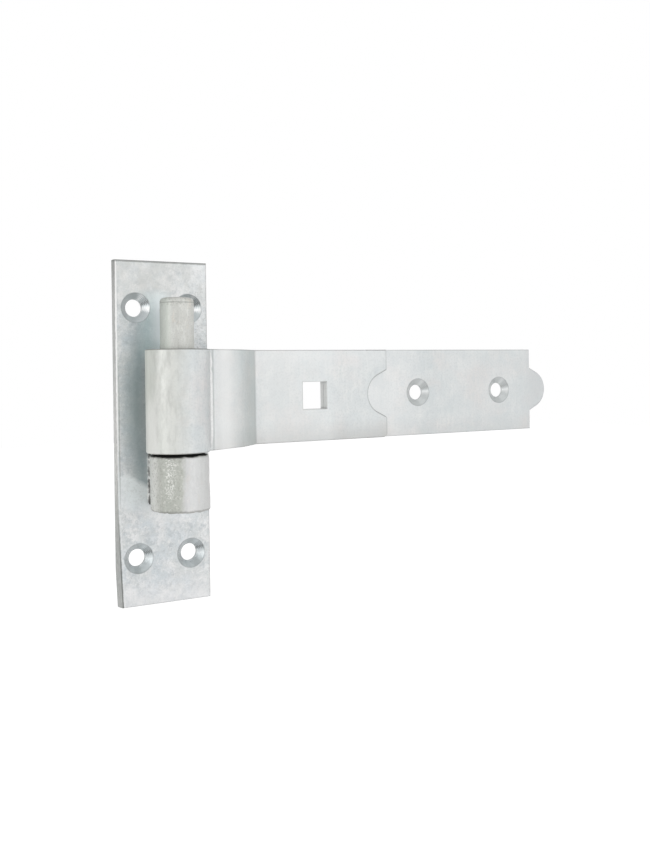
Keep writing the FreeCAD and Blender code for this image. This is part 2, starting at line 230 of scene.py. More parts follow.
class Zinc(Nodes):
    """Galvanised steel, built up in layers of colour, roughness and height. Lengths are in millimetres."""

    def __init__(self, name, colour, rough):
        self.material = bpy.data.materials.new(name)
        super().__init__(self.material)
        metres = self.add("ShaderNodeTexCoord").outputs["Object"]
        self.place = self.vector("SCALE", {0: metres, "Scale": 1 / MM})
        self.x, self.y, self.z = self.add("ShaderNodeSeparateXYZ", {0: self.place}).outputs
        normal = self.add("ShaderNodeNewGeometry").outputs["True Normal"]
        self.facing = self.add("ShaderNodeSeparateXYZ", {0: normal}).outputs
        self.colour = (*colour, 1.0)
        self.rough = rough
        self.height = 0.0

    def vector(self, operation, inputs):
        return self.add("ShaderNodeVectorMath", inputs, operation=operation).outputs[0]

    def noise(self, size, detail=3.0, roughness=0.55, stretch=(1, 1, 1)):
        """Noise whose features are about the given size, drawn out where the stretch is over 1."""
        shrink = tuple(1.0 / (size * share) for share in stretch)
        place = self.vector("MULTIPLY", {0: self.place, 1: shrink})
        inputs = {"Vector": place, "Scale": 1.0, "Detail": detail, "Roughness": roughness}
        return self.add("ShaderNodeTexNoise", inputs).outputs["Fac"]

    def drift(self, noise_value, reach):
        """Noise turned into a shift of up to half the reach either way."""
        return self.times(self.minus(noise_value, 0.5), reach)

    def both(self, *masks):
        """Mask where all the masks are."""
        result = masks[0]
        for mask in masks[1:]:
            result = self.times(result, mask)
        return result

    def between(self, value, low, high, soft):
        """Mask of the stretch between two values, with soft ends."""
        return self.both(self.span(value, low - soft, low + soft), self.fall(value, high - soft, high + soft))

    def distance(self, centre, keep):
        """Distance from a line through the centre along the axis that keep leaves out."""
        offset = self.vector("SUBTRACT", {0: self.place, 1: centre})
        flat = self.vector("MULTIPLY", {0: offset, 1: keep})
        return self.add("ShaderNodeVectorMath", {0: flat}, operation="LENGTH").outputs["Value"]

    def around(self):
        """Angle round the pin in degrees: 0 in front, minus to the left."""
        right = self.minus(self.x, PIN_AXIS.x)
        ahead = self.minus(PIN_AXIS.y, self.y)
        return self.times(self.math("ARCTAN2", right, ahead), math.degrees(1.0))

    def paint(self, mask, colour, strength):
        self.colour = self.blend(self.times(mask, strength), self.colour, (*colour, 1.0))

    def roughen(self, mask, amount):
        self.rough = self.plus(self.rough, self.times(mask, amount))

    def raise_by(self, value, amount):
        self.height = self.plus(self.height, self.times(value, amount))

    def cloud(self, colour, size, strength, stretch=(1, 1, 1), low=0.36, high=0.68):
        """Soft patches of another colour."""
        self.paint(self.span(self.noise(size, stretch=stretch), low, high), colour, strength)

    def grain(self, size, depth, dark, strength):
        """Fine rough grain with darker pits."""
        grain = self.noise(size, 4.0, 0.65)
        self.raise_by(grain, depth)
        self.paint(self.fall(grain, 0.34, 0.52), dark, strength)

    def sinks(self, centres, diameter, colour, back, bright=1.0, dark=1.0):
        """Turned countersinks that end before the back: fine rings, with painted highlights, painted dark
        glints and shade, and a painted shade line at the rim.
        """
        edge = diameter / 2
        shallow = self.fall(self.y, back - 0.5, back - 0.3)
        for centre in centres:
            radius = self.distance(centre, (1, 0, 1))
            inside = self.both(shallow, self.fall(radius, edge - 0.1, edge + 0.1))
            self.paint(inside, colour, 0.75)
            self.roughen(inside, -0.22)
            ring = self.math("SINE", self.times(radius, 2 * math.pi / RING_PITCH))
            self.raise_by(self.both(inside, ring), RING_HEIGHT)
            turn = self.math("ARCTAN2", self.minus(self.z, centre.z), self.minus(self.x, centre.x))
            waver = self.plus(turn, self.times(ring, RING_WAVER))
            # Painted highlights and painted dark glints and shade, in sectors round the hole
            for low, high, shade, share in PAINTED_GLINTS:
                painted_glint = self.both(inside, self.between(waver, low, high, GLINT_SOFT))
                self.paint(painted_glint, (shade, shade, shade), share * (bright if shade > 0.5 else dark))
            # Painted shade line at the rim
            rim_shade = self.both(shallow, self.between(radius, edge - 0.15, edge + 0.15, 0.12))
            self.paint(rim_shade, (0.26, 0.29, 0.29), 0.50)

    def close(self):
        """Finished material."""
        bump_inputs = {"Height": self.height, "Strength": BUMP_STRENGTH, "Distance": BUMP_DEPTH * MM}
        bump = self.add("ShaderNodeBump", bump_inputs).outputs[0]
        shader = self.add("ShaderNodeBsdfPrincipled", {
            "Base Color": self.colour, "Roughness": self.rough, "Metallic": METAL_SHARE, "Normal": bump})
        self.end("ShaderNodeOutputMaterial", shader.outputs[0])
        return self.material


def plate_mottling(zinc):
    """Patches and grain all over the plate, from large to small."""
    zinc.cloud((0.63, 0.66, 0.67), 14.0, 0.50)
    zinc.cloud((0.88, 0.88, 0.88), 5.0, 0.75, low=0.46, high=0.64)
    zinc.cloud((0.62, 0.70, 0.76), 7.0, 0.40, low=0.44, high=0.66)
    zinc.cloud((0.52, 0.56, 0.58), 2.6, 0.65, low=0.50, high=0.68)
    zinc.cloud((0.90, 0.91, 0.92), 1.6, 0.45, low=0.54, high=0.66)
    zinc.grain(0.7, 0.30, (0.40, 0.42, 0.42), 0.28)
    zinc.cloud((0.96, 0.96, 0.95), 1.2, 0.45, low=0.60, high=0.70)
    zinc.cloud((0.44, 0.46, 0.46), 1.5, 0.40, low=0.60, high=0.72)


def plate_ends(zinc, front):
    """Warm smears on the plate's upper end, a pale lower end, and dark specks right of the pin."""
    upper = zinc.both(front, zinc.span(zinc.z, 44.0, 58.0))
    zinc.paint(zinc.both(upper, zinc.fall(zinc.x, 2.0, 12.0)), (0.68, 0.68, 0.65), 0.40)
    zinc.paint(zinc.both(upper, zinc.span(zinc.x, 6.0, 14.0)), (0.86, 0.87, 0.87), 0.35)
    smear = zinc.span(zinc.noise(5.0, stretch=(1, 1, 3)), 0.46, 0.60)
    zinc.paint(zinc.both(upper, smear), (0.56, 0.57, 0.55), 0.35)
    zinc.paint(zinc.fall(zinc.z, -66.0, -56.0), (0.88, 0.88, 0.89), 0.45)
    right_of_pin = zinc.both(front, zinc.span(zinc.x, 9.0, 12.0), zinc.between(zinc.z, 30.0, 60.0, 3.0))
    specks = zinc.span(zinc.noise(0.9, 3.0, 0.7), 0.54, 0.66)
    zinc.paint(zinc.both(right_of_pin, specks), (0.42, 0.43, 0.41), 0.5)


def plate_shadow_and_light(zinc, front):
    """Teal painted shadow behind the eye, bluish painted light beside the pin, and painted light with spatter
    below the shadow's foot.
    """
    foot_low = -25.3
    foot_high = -23.0
    foot_slope = 0.47
    wander = zinc.drift(zinc.noise(6.0), 4.0)
    level = zinc.plus(zinc.z, zinc.plus(wander, zinc.times(zinc.x, foot_slope)))
    lean = zinc.plus(zinc.span(zinc.z, 20.0, 38.0, 0.0, 1.8), zinc.span(zinc.z, -14.0, -4.0, 2.0, 0.0))
    leaning = zinc.minus(zinc.x, lean)
    # Painted shadow of the eye on the plate, teal, darker again in its middle stretch
    shadow_behind_eye = zinc.both(front, zinc.span(level, foot_low, foot_high), zinc.fall(level, 30.0, 46.0),
                           zinc.between(leaning, -15.0, -7.2, 4.0))
    zinc.paint(shadow_behind_eye, (0.34, 0.43, 0.45), 0.72)
    zinc.paint(zinc.both(shadow_behind_eye, zinc.between(zinc.z, -2.0, 21.0, 8.0)), (0.28, 0.32, 0.31), 0.30)

    # Painted light beside the pin, bluish, where the pin shades the plate
    bluish_light = zinc.both(front, zinc.between(zinc.x, -9.0, 1.0, 2.5), zinc.between(zinc.z, 31.0, 54.0, 4.0))
    zinc.paint(bluish_light, (0.74, 0.95, 0.97), 0.42)
    light_beside_pin = zinc.both(
        front, zinc.between(zinc.x, -3.8, 3.0, 2.2), zinc.between(zinc.z, 34.0, 54.0, 4.0))
    zinc.paint(light_beside_pin, (0.90, 0.97, 0.99), 0.95)

    # Painted light below the shadow's foot and under the boss, where the boss shades the plate; the spatter
    # in it is the zinc's own
    light_below_foot = zinc.both(front, zinc.fall(level, foot_low, foot_high),
                           zinc.between(zinc.x, -18.0, -2.0, 4.0), zinc.span(zinc.z, -32.0, -26.0))
    zinc.paint(light_below_foot, (0.94, 0.99, 1.0), 0.95)
    spatter = zinc.both(light_below_foot, zinc.span(zinc.noise(1.1, 2.0), 0.50, 0.62))
    zinc.paint(spatter, (0.74, 0.77, 0.77), 0.40)
    zinc.raise_by(spatter, 0.5)
    light_below_boss = zinc.both(
        front, zinc.between(zinc.x, -8.0, 14.0, 3.0), zinc.between(zinc.z, -36.0, -28.0, 2.5))
    zinc.paint(light_below_boss, (0.96, 0.98, 0.99), 0.45)


def plate_sides(zinc, front):
    """Rough sides, grey with painted shade, lighter higher up and in the middle. At the front left edge run a
    torn line darkened with painted shade, a painted highlight line and a thin groove.
    """
    # Painted shade on the sides, eased by painted light higher up and in the middle; the torn patches are the
    # shear's own
    side = zinc.fall(zinc.math("ABSOLUTE", zinc.facing[1]), 0.60, 0.95)
    zinc.paint(side, (0.47, 0.48, 0.46), 0.75)
    upper_side = zinc.span(zinc.z, -35.0, -15.0)
    zinc.paint(zinc.both(side, upper_side), (0.66, 0.67, 0.65), 0.65)
    middle_side = zinc.between(zinc.z, -24.0, 20.0, 10.0)
    zinc.paint(zinc.both(side, middle_side), (0.95, 0.95, 0.92), 0.42)
    torn = zinc.both(side, zinc.span(zinc.noise(0.9, 4.0, 0.7, (1, 1, 3)), 0.42, 0.60))
    zinc.paint(torn, (0.30, 0.31, 0.30), 0.45)
    zinc.raise_by(torn, -0.5)

    uneven = zinc.drift(zinc.noise(1.6, 4.0, 0.7), 0.5)
    sheared = zinc.span(zinc.z, PLATE_LOW.z, PLATE_LOW.z + SHEAR_HEIGHT, SHEAR_WIDTH, 0.0)
    from_left = zinc.plus(zinc.minus(zinc.minus(zinc.x, PLATE_LOW.x), sheared), uneven)
    # Torn edge line, partly the shear's own and partly painted shade, and beside it a painted highlight of
    # the rounded edge
    torn_edge_shade = zinc.both(front, zinc.between(from_left, -0.2, 0.28, 0.08))
    fainter_above = zinc.span(zinc.z, -54.0, -30.0, 1.0, 0.3)
    zinc.paint(zinc.both(torn_edge_shade, fainter_above), (0.12, 0.13, 0.12), 0.80)
    beside_dark = zinc.minus(from_left, zinc.span(upper_side, 0.0, 1.0, 0.45, 0.05))
    edge_highlight = zinc.both(front, zinc.between(beside_dark, 0.0, 0.6, 0.12))
    fainter_below = zinc.span(zinc.z, -20.0, 14.0, 0.25, 1.0)
    zinc.paint(zinc.both(edge_highlight, fainter_below), (0.98, 0.98, 0.97), 0.95)
    groove = zinc.both(front, middle_side, zinc.between(from_left, 0.85, 1.25, 0.12))
    zinc.paint(groove, (0.36, 0.37, 0.35), 0.60)

    # Painted shade lines along the top and right edges, and painted shade on the top of the sides
    from_top = zinc.plus(zinc.minus(PLATE_HIGH.z, zinc.z), uneven)
    zinc.paint(zinc.between(from_top, -0.4, 0.80, 0.20), (0.26, 0.27, 0.26), 0.75)
    from_right = zinc.plus(zinc.minus(PLATE_HIGH.x, zinc.x), uneven)
    zinc.paint(zinc.between(from_right, -0.4, 0.40, 0.15), (0.36, 0.37, 0.36), 0.60)
    shaded_top_of_side = zinc.both(side, zinc.span(zinc.z, PLATE_HIGH.z - 16.0, PLATE_HIGH.z - 4.0))
    zinc.paint(shaded_top_of_side, (0.22, 0.23, 0.22), 0.5)


def plate_zinc():
    """Hook plate: mottled, with painted shadow and light round the hook, sheared sides with painted shade and
    highlights, and turned countersinks with painted glints.
    """
    zinc = Zinc("zinc_plate", COLOURS["zinc_plate"], 0.46)
    front = zinc.fall(zinc.y, PLATE_LOW.y + 0.3, PLATE_LOW.y + 0.6)
    plate_mottling(zinc)
    plate_ends(zinc, front)
    plate_shadow_and_light(zinc, front)
    plate_sides(zinc, front)
    holes = hole_centres(MOUNTS["plate_screws"])
    upper_holes = [centre for centre in holes if centre.z > 0]
    lower_holes = [centre for centre in holes if centre.z < 0]
    zinc.sinks(upper_holes, PLATE_SINK, PLATE_SINK_COLOUR, PLATE_HIGH.y)
    zinc.sinks(lower_holes, PLATE_SINK, PLATE_SINK_COLOUR, PLATE_HIGH.y, bright=0.25)
    return zinc.close()


def strip_mottling(zinc):
    """Patches and grain all over the band, from large to small."""
    zinc.cloud((0.60, 0.66, 0.67), 16.0, 0.50, (1, 1, 1.6))
    zinc.cloud((0.81, 0.73, 0.70), 13.0, 0.40, (1.5, 1, 1), 0.48, 0.68)
    zinc.cloud((0.88, 0.88, 0.86), 7.0, 0.36, low=0.46, high=0.68)
    zinc.cloud((0.58, 0.63, 0.65), 2.4, 0.24, low=0.50, high=0.68)
    zinc.cloud((0.62, 0.65, 0.66), 1.3, 0.34, (1, 1, 7))
    zinc.grain(0.9, 0.12, (0.48, 0.51, 0.51), 0.30)


def strip_cuts(zinc):
    """Painted shade on the cut edges of the strip, and painted light on the walls of the square hole, with
    painted shade at its rims and corners.
    """
    # Painted shade on the cut faces of the strip
    cut_shade = zinc.span(zinc.math("ABSOLUTE", zinc.facing[2]), 0.35, 0.75)
    zinc.paint(cut_shade, (0.32, 0.33, 0.32), 0.75)
    half = BOLT_SQUARE / 2
    across = zinc.away(zinc.x, BOLT.x)
    up = zinc.away(zinc.z, BOLT.z)
    from_bolt = zinc.math("MAXIMUM", across, up)
    # Painted light on the walls of the square hole, with patches of their own
    lit_walls = zinc.fall(from_bolt, half + 0.05, half + 0.15)
    zinc.paint(lit_walls, (0.98, 0.98, 0.96), 0.85)
    patches = zinc.span(zinc.noise(0.8, 3.0, 0.6), 0.52, 0.64)
    zinc.paint(zinc.both(lit_walls, patches), (0.60, 0.61, 0.58), 0.4)
    # Painted shade at the rims of the square hole and in its corners
    zinc.paint(zinc.between(from_bolt, half + 0.02, half + 0.28, 0.06), (0.30, 0.31, 0.30), 0.65)
    corners = zinc.both(zinc.span(across, half - 0.8, half - 0.1), zinc.span(up, half - 1.0, half - 0.1))
    zinc.paint(zinc.both(corners, lit_walls), (0.20, 0.20, 0.20), 0.5)


def strip_socket(zinc):
    """Painted shade on the slanted rims of the front leaf's end and of the tongue, and a painted shade line
    along the socket.
    """
    shoulder = BAND_HIGH.x - TONGUE_REACH
    at_ends = zinc.math("MAXIMUM", zinc.between(zinc.x, LEAF_END - TONGUE_REACH - 1.0, LEAF_END + 1.0, 0.1),
                        zinc.span(zinc.x, shoulder - 0.5, shoulder))
    # Painted shade on the slanted facets at both ends
    slanted_shade = zinc.between(zinc.facing[1], -0.82, -0.60, 0.03)
    zinc.paint(zinc.both(slanted_shade, at_ends), (0.12, 0.13, 0.13), 0.85)

    # Distance from the curved cut: from its arc, and past the tangent from its flare
    centre = LEAF_END - TONGUE_REACH + TONGUE_RADIUS
    tangent = centre - TONGUE_RADIUS * math.sin(TONGUE_FLARE)
    from_arc = zinc.minus(zinc.distance((centre, 0, PIN_AXIS.z), (1, 0, 1)), TONGUE_RADIUS)
    rise = zinc.times(zinc.away(zinc.z, PIN_AXIS.z), math.cos(TONGUE_FLARE))
    slope = zinc.times(zinc.minus(zinc.x, centre), math.sin(TONGUE_FLARE))
    from_flare = zinc.minus(zinc.minus(rise, TONGUE_RADIUS), slope)
    past_arc = zinc.span(zinc.x, tangent, tangent + 0.1)
    from_cut = zinc.plus(zinc.both(past_arc, from_flare), zinc.both(zinc.minus(1.0, past_arc), from_arc))
    from_end = zinc.math("MINIMUM", from_cut, zinc.minus(LEAF_END, zinc.x))

    # Painted shade line along the socket's cut, on the front leaf
    on_front_leaf = zinc.fall(zinc.y, BOLT.y + 0.3, BOLT.y + 0.5)
    socket_shade_line = zinc.both(zinc.fall(from_end, 0.45, 0.75), zinc.span(from_end, 0.0, 0.05), on_front_leaf)
    zinc.paint(socket_shade_line, (0.40, 0.41, 0.41), 0.50)
    lower_corner = zinc.both(on_front_leaf, zinc.span(zinc.x, LEAF_END - 14.0, LEAF_END - 1.0),
                             zinc.fall(zinc.z, BAND_LOW.z, BAND_LOW.z + 9.0))
    zinc.paint(lower_corner, (0.55, 0.55, 0.54), 0.35)


def strip_edges(zinc):
    """Darker towards the lower edge, most of all on the crank and the front leaf, paler upper edge, and
    painted shade along the outlines.
    """
    near_low = zinc.both(zinc.fall(zinc.z, BAND_LOW.z, BAND_LOW.z + 9.0), zinc.span(zinc.x, 13.0, 16.0))
    darker_low = zinc.both(near_low, zinc.span(zinc.x, LEAF_END, LEAF_END + 4.0, 1.0, 0.4))
    zinc.paint(darker_low, (0.46, 0.455, 0.44), 0.58)
    near_high = zinc.both(zinc.span(zinc.z, BAND_HIGH.z - 10.0, BAND_HIGH.z - 3.0),
                          zinc.between(zinc.x, CREASE + 0.5, LEAF_END, 0.3))
    zinc.paint(near_high, (0.95, 0.95, 0.95), 0.20)
    # Painted shade along the tongue's rounded end and along the upper and lower outlines
    nose = BAND_HIGH.x - TONGUE_RADIUS
    from_nose = zinc.distance((nose, 0, PIN_AXIS.z), (1, 0, 1))
    nose_outline_shade = zinc.both(zinc.span(from_nose, TONGUE_RADIUS - 1.0, TONGUE_RADIUS - 0.4),
                         zinc.span(zinc.x, nose, nose + 2.0))
    zinc.paint(nose_outline_shade, (0.46, 0.47, 0.48), 0.45)
    half_width = BAND_HIGH.z - PIN_AXIS.z
    off_middle = zinc.away(zinc.z, PIN_AXIS.z)
    outline_shade = zinc.both(zinc.span(off_middle, half_width - 0.45, half_width - 0.30),
                          zinc.span(zinc.x, LEAF_END, LEAF_END + 0.2))
    zinc.paint(outline_shade, (0.34, 0.35, 0.35), 0.55)


def strip_stretches(zinc):
    """Painted light next to the eye, greenish painted shade up to a painted shade line in the crease, then
    pale, and darker at the tip.
    """
    # Painted light on the crank next to the eye
    zinc.paint(zinc.between(zinc.x, 14.5, 26.0, 4.0), (0.97, 0.97, 0.96), 0.58)
    shade_to_crease = zinc.both(zinc.span(zinc.x, 21.0, CREASE - 0.5),
                          zinc.fall(zinc.x, CREASE + 0.1, CREASE + 0.7))
    zinc.paint(shade_to_crease, (0.52, 0.58, 0.56), 0.44)
    # Painted shade line in the crease
    zinc.paint(zinc.between(zinc.x, CREASE - 0.2, CREASE + 0.2, 0.12), (0.36, 0.38, 0.38), 0.45)
    zinc.paint(zinc.between(zinc.x, 42.0, 60.0, 4.0), (0.90, 0.90, 0.89), 0.34)
    zinc.paint(zinc.between(zinc.x, 60.0, 80.0, 4.0), (0.90, 0.93, 0.93), 0.30)
    zinc.paint(zinc.between(zinc.x, 84.0, LEAF_END, 4.0), (0.88, 0.90, 0.90), 0.12)
    on_back_leaf = zinc.between(zinc.y, BOLT.y + 0.75, BAND_HIGH.y - 0.75, 0.25)
    pale_start = zinc.both(on_back_leaf, zinc.span(zinc.x, 94.0, 96.0), zinc.fall(zinc.x, 112.0, 132.0))
    zinc.paint(pale_start, (0.94, 0.94, 0.94), 0.26)
    zinc.paint(zinc.span(zinc.x, 118.0, 150.0), (0.66, 0.68, 0.685), 0.22)
    zinc.paint(zinc.span(zinc.x, BAND_HIGH.x - 16.0, BAND_HIGH.x - 8.0), (0.58, 0.60, 0.61), 0.50)


def strip_eye(zinc):
    """The eye: warm and streaky on its left, with painted light and shade on its left edge, painted light low
    down, a painted shade line at its top and painted shade beside the seam.
    """
    from_pin = zinc.distance(PIN_AXIS, (1, 1, 0))
    on_eye = zinc.fall(from_pin, EYE_RADIUS, EYE_RADIUS + 0.5)
    warm_side = zinc.both(on_eye, zinc.fall(zinc.x, -6.0, 1.0))
    zinc.paint(warm_side, (0.78, 0.78, 0.71), 0.50)
    streaks = zinc.span(zinc.noise(2.4, 3.0, 0.6, (1, 1, 3)), 0.46, 0.68)
    zinc.paint(zinc.both(warm_side, streaks), (0.54, 0.55, 0.52), 0.62)

    # The left paint fades out before it meets itself behind the pin
    around = zinc.around()
    fading = zinc.both(on_eye, zinc.span(around, -170.0, -110.0))
    # Painted light and shade on the eye's left edge
    zinc.paint(zinc.both(fading, zinc.fall(around, -84.0, -62.0)), (0.95, 0.98, 0.90), 0.45)
    far_left = zinc.both(fading, zinc.fall(around, -66.0, -56.0))
    zinc.paint(zinc.both(far_left, zinc.span(zinc.z, 11.0, 20.0)), (0.50, 0.54, 0.48), 0.27)
    lower_half = zinc.fall(zinc.z, 6.0, 15.0)
    zinc.paint(zinc.both(far_left, lower_half), (1.0, 1.0, 0.97), 0.40)
    less_bright = zinc.both(on_eye, lower_half, zinc.between(around, -58.0, -46.0, 4.0))
    zinc.paint(less_bright, (0.50, 0.52, 0.48), 0.16)
    # Painted shade line at the eye's top, under the pin
    top_shade_line = zinc.both(on_eye, zinc.span(zinc.z, BAND_HIGH.z - 0.45, BAND_HIGH.z - 0.3))
    zinc.paint(top_shade_line, (0.16, 0.16, 0.15), 0.6)

    # Painted shade beside the seam, and black painted shade in the gap under the eye
    from_seam = zinc.distance(SEAM, (1, 1, 0))
    zinc.paint(zinc.between(from_seam, SEAM_RADIUS, 1.8, 0.35), (0.36, 0.38, 0.38), 0.60)
    shade_underneath = zinc.both(zinc.fall(zinc.z, BAND_LOW.z + 0.2, BAND_LOW.z + 0.5),
                           zinc.fall(from_pin, EYE_RADIUS - 1.2, EYE_RADIUS - 0.4))
    zinc.paint(shade_underneath, (0.06, 0.06, 0.055), 0.85)


def strip_zinc():
    """Band: pale and faintly mottled, with painted shade on the cut edges, darker towards the lower edge, and
    a streaky eye with painted light and shade.
    """
    zinc = Zinc("zinc_strip", COLOURS["zinc_strip"], 0.46)
    strip_mottling(zinc)
    strip_cuts(zinc)
    strip_socket(zinc)
    strip_edges(zinc)
    strip_stretches(zinc)
    strip_eye(zinc)
    holes = hole_centres(MOUNTS["strap_screws"])
    zinc.sinks(holes, STRAP_SINK, STRAP_SINK_COLOUR, BAND_HIGH.y, bright=0.45, dark=0.5)
    return zinc.close()


def forged_boss(zinc):
    """The boss: grainy and grey-green on its left with a band of painted shade and painted light at its far
    edge, a column of bright specks, and pale on its right.
    """
    on_boss = zinc.fall(zinc.z, BOSS_TOP - 0.6, BOSS_TOP - 0.2)
    wander = zinc.drift(zinc.noise(3.0, 3.0, 0.6, (1, 1, 3)), 24.0)
    around = zinc.plus(zinc.around(), wander)
    left_side = zinc.both(on_boss, zinc.fall(around, -18.0, -8.0))
    dull = zinc.both(left_side, zinc.span(around, -78.0, -52.0))
    zinc.paint(dull, (0.48, 0.50, 0.45), 0.70)
    # Painted shade in a band on the boss's left
    zinc.paint(zinc.both(on_boss, zinc.between(around, -62.0, -34.0, 12.0)), (0.36, 0.38, 0.34), 0.40)
    # Painted light at the boss's far left edge
    fading = zinc.both(on_boss, zinc.span(around, -170.0, -110.0))
    zinc.paint(zinc.both(fading, zinc.fall(around, -80.0, -62.0)), (0.90, 0.92, 0.88), 0.50)
    flecks = zinc.both(dull, zinc.span(zinc.noise(1.2, 3.0, 0.6), 0.54, 0.64))
    zinc.paint(flecks, (0.84, 0.84, 0.80), 0.42)
    pits = zinc.both(left_side, zinc.span(zinc.noise(0.8, 3.0, 0.6), 0.52, 0.64))
    zinc.paint(pits, (0.36, 0.37, 0.33), 0.55)
    column = zinc.both(on_boss, zinc.between(zinc.x, -8.2, -5.6, 0.9),
                       zinc.span(zinc.z, BOSS_TOP - 17.0, BOSS_TOP - 13.5))
    specked = zinc.both(column, zinc.span(zinc.noise(0.6, 3.0, 0.6), 0.48, 0.58))
    zinc.paint(specked, (1.0, 1.0, 0.97), 0.65)
    zinc.raise_by(specked, 0.4)
    zinc.paint(zinc.both(on_boss, zinc.span(around, -18.0, -9.0)), (0.68, 0.685, 0.705), 0.50)
    zinc.paint(zinc.both(on_boss, zinc.between(around, -5.0, 17.0, 8.0)), (0.90, 0.905, 0.92), 0.24)
    foot = zinc.plus(zinc.z, zinc.times(zinc.noise(1.5, 3.0, 0.6), 1.2))
    zinc.paint(zinc.fall(foot, HOOK_LOW.z + 0.7, HOOK_LOW.z + 1.2), (0.30, 0.30, 0.28), 0.55)


def forged_zinc():
    """Forged hook: streaky and grainy, with painted shade on the pin's left and round its chamfer, and a
    mottled boss.
    """
    zinc = Zinc("zinc_forging", (0.745, 0.755, 0.722), 0.48)
    zinc.cloud((0.60, 0.60, 0.57), 7.0, 0.50, (1, 1, 1.8))
    zinc.cloud((0.56, 0.56, 0.52), 1.4, 0.50, (1, 1, 5))
    zinc.cloud((0.88, 0.89, 0.85), 1.2, 0.40, (1, 1, 3), 0.54, 0.66)
    zinc.cloud((0.76, 0.66, 0.54), 3.0, 0.35, (1, 1, 2), 0.60, 0.74)
    zinc.grain(0.55, 0.40, (0.40, 0.40, 0.38), 0.30)

    under_chamfer = HOOK_HIGH.z - PIN_CHAMFER
    on_pin = zinc.span(zinc.z, BOSS_TOP, BOSS_TOP + 1.0)
    # Painted shade on the pin's left side
    zinc.paint(zinc.both(on_pin, zinc.fall(zinc.x, -5.5, -4.0)), (0.55, 0.61, 0.55), 0.50)
    # Painted shade in patches round the chamfer
    on_rim = zinc.between(zinc.z, under_chamfer - 1.4, HOOK_HIGH.z - 0.4, 0.4)
    chamfer_shade = zinc.span(zinc.noise(1.3, 3.0, 0.6), 0.52, 0.62)
    zinc.paint(zinc.both(on_rim, chamfer_shade), (0.34, 0.35, 0.32), 0.45)
    forged_boss(zinc)
    # Painted shade line at the pin's top rim
    zinc.paint(zinc.span(zinc.z, HOOK_HIGH.z - 0.3, HOOK_HIGH.z - 0.1), (0.42, 0.43, 0.41), 0.6)

    # Painted shade ring under the pin's chamfer, and black painted shade in the gap between the boss and the
    # eye
    zinc.paint(zinc.between(zinc.z, under_chamfer - 0.35, under_chamfer, 0.12), (0.34, 0.35, 0.33), 0.7)
    from_pin = zinc.distance(PIN_AXIS, (1, 1, 0))
    on_top = zinc.both(zinc.between(zinc.z, BOSS_TOP - 0.35, BOSS_TOP + 2.2, 0.15),
                       zinc.fall(from_pin, BOSS_RADIUS - 0.9, BOSS_RADIUS - 0.3))
    zinc.paint(on_top, BLACK_GAP_SHADE, 0.95)
    return zinc.close()


def bead_zinc(name, colour):
    """Zinc over a bead of weld or of run metal."""
    zinc = Zinc(name, colour, 0.42)
    zinc.cloud((0.70, 0.71, 0.70), 2.2, 0.4)
    zinc.grain(0.5, 0.3, (0.46, 0.46, 0.45), 0.25)
    return zinc


def weld_zinc():
    """Weld bead, with patchy black painted shade in the crevice where it is nearest to the neck."""
    zinc = bead_zinc("zinc_weld", (0.82, 0.82, 0.80))
    inner = zinc.fall(zinc.math("ABSOLUTE", zinc.x), WELD_HIGH.x + 0.1, WELD_HIGH.x + 0.5)
    crevice_shade = zinc.span(zinc.noise(2.4, 3.0, 0.6), 0.40, 0.48)
    zinc.paint(zinc.both(inner, crevice_shade), BLACK_GAP_SHADE, 0.9)
    return zinc.close()


def seam_zinc():
    """Run zinc in the seam, paler than the band."""
    return bead_zinc("zinc_seam", (0.90, 0.905, 0.90)).close()


def dress(node, material):
    """CAD node with its material."""
    obj = frame["nodes"][node]
    obj.data.materials.clear()
    obj.data.materials.append(material)


def new_piece(name, mesh, material, body):
    """Piece that rides on a body and takes its finish from a slot."""
    for face in mesh.polygons:
        face.use_smooth = True
    mesh.materials.clear()
    mesh.materials.append(material)
    piece = bpy.data.objects.new(name, mesh)
    bpy.context.scene.collection.objects.link(piece)
    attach(piece, body)
    return piece


def lumps(point, size, seed=0.0):
    """Smooth noise of about -1 to 1 with features of the given size."""
    return noise.noise(point / size + Vector((seed, seed, seed)))


def forged_surface(point):
    """Height of the forging's skin over the plain form, in millimetres: smooth on the pin, rough on rims."""
    if point.z > BOSS_TOP + 0.5:
        return 0.04 * lumps(point, 3.0) + 0.02 * lumps(point, 0.9)
    skin = 0.16 * lumps(point, 4.0) + 0.09 * lumps(point, 1.2, 3.0) + 0.05 * lumps(point, 0.6, 7.0)
    near_rim = max(0.0, 1.0 - min(point.z - HOOK_LOW.z, BOSS_TOP - point.z) / 1.5)
    if (point - PIN_AXIS).to_2d().length > BOSS_RADIUS - 2.0:
        skin += near_rim * 0.30 * lumps(point, 1.6, 11.0)
    return skin


def forged_place(point):
    """Place of a point of the plain form on the forging: rounded pin top, and a boss leaning to the right."""
    if point.z > BOSS_TOP:
        spoke = (point - PIN_AXIS).to_2d()
        corner = Vector((spoke.length - PIN_RADIUS + PIN_ROUNDING, point.z - HOOK_HIGH.z + PIN_ROUNDING))
        if min(corner) > 0:
            corner *= PIN_ROUNDING / corner.length
            spoke *= (PIN_RADIUS - PIN_ROUNDING + corner.x) / spoke.length
            level = HOOK_HIGH.z - PIN_ROUNDING + corner.y
            return Vector((PIN_AXIS.x + spoke.x, PIN_AXIS.y + spoke.y, level))
        return point
    depth = (BOSS_TOP - point.z) / (BOSS_TOP - HOOK_LOW.z)
    lean = BOSS_LEAN * (0.3 + 0.7 * depth)
    return Vector((point.x * BOSS_SHRINK + lean, point.y, point.z - BOSS_SAG * depth ** 2))


